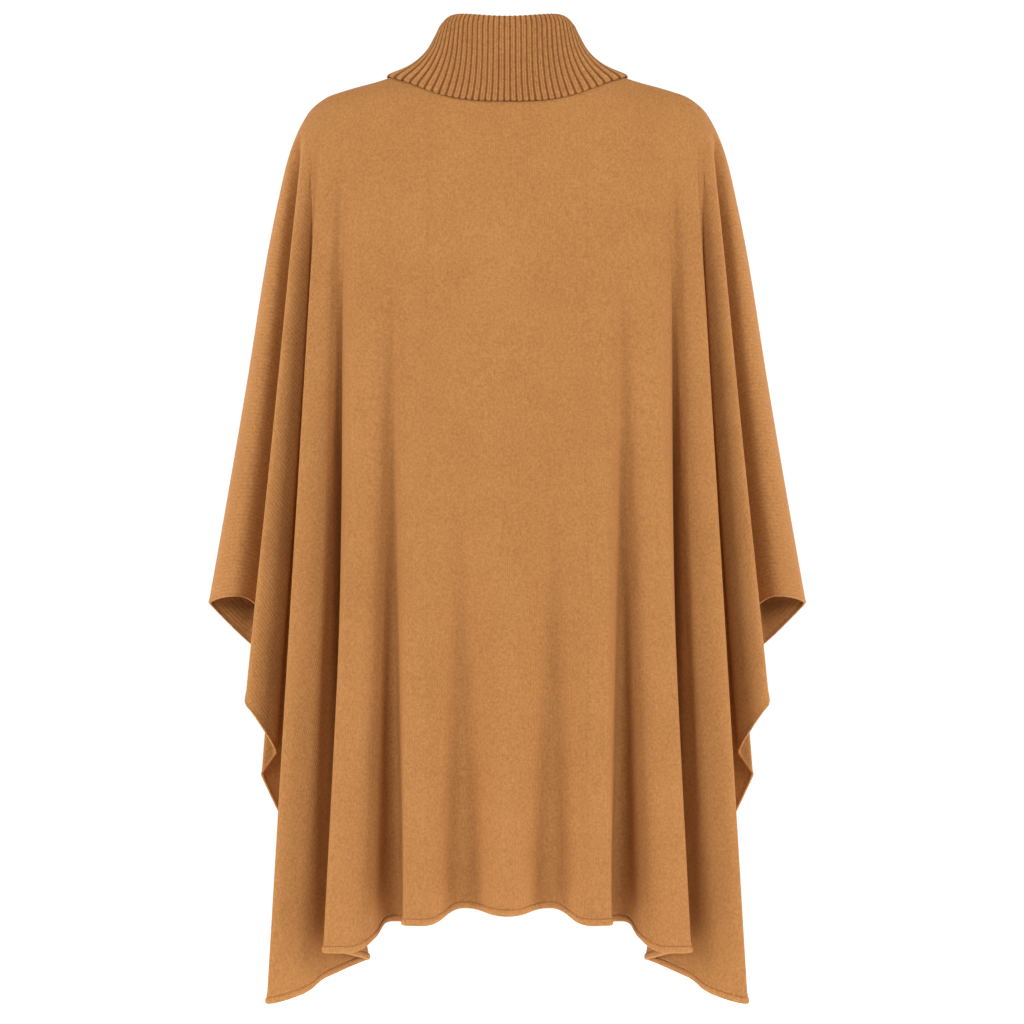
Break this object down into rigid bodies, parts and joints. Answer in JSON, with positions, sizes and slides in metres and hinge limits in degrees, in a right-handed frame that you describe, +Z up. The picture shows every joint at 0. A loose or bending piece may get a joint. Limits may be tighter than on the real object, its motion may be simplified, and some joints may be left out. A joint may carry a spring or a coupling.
{
  "type": "zip-neck poncho",
  "caption": "Loose knitted poncho with a turned-down rib collar, a short front zip with a swinging pull tab, open sides and a tubular hem, in the form it hangs in when worn.",
  "frame": {"origin": "middle of the neck opening at the height of the back neck seam", "axes": "+Z up, the wearer faces -Y, +X to the wearer's left"},
  "size_m": [0.596, 0.2587, 0.9822],
  "materials": {
    "jersey": "fine plain knit, matte, slightly fuzzy",
    "rib": "rib knit, matte",
    "band": "tubular plain knit, matte",
    "tape": "woven zip tape",
    "brass": "satin"
  },
  "bodies": {
    "poncho": {"back_panel": "jersey", "front_panel": "jersey", "collar": "rib", "hem_back": "band", "hem_front": "band", "zip_tape_left": "tape", "zip_tape_right": "tape", "zip_chain": "brass", "slider": "brass"},
    "pull_tab": {"pull_tab": "brass"}
  },
  "joints": [
    {"name": "pull_tab_swing", "type": "hinge", "parent": "poncho", "child": "pull_tab", "pos_m": [0, -0.08338, -0.06619], "axis": [-1, 0, 0], "range_deg": [0, 165]}
  ]
}
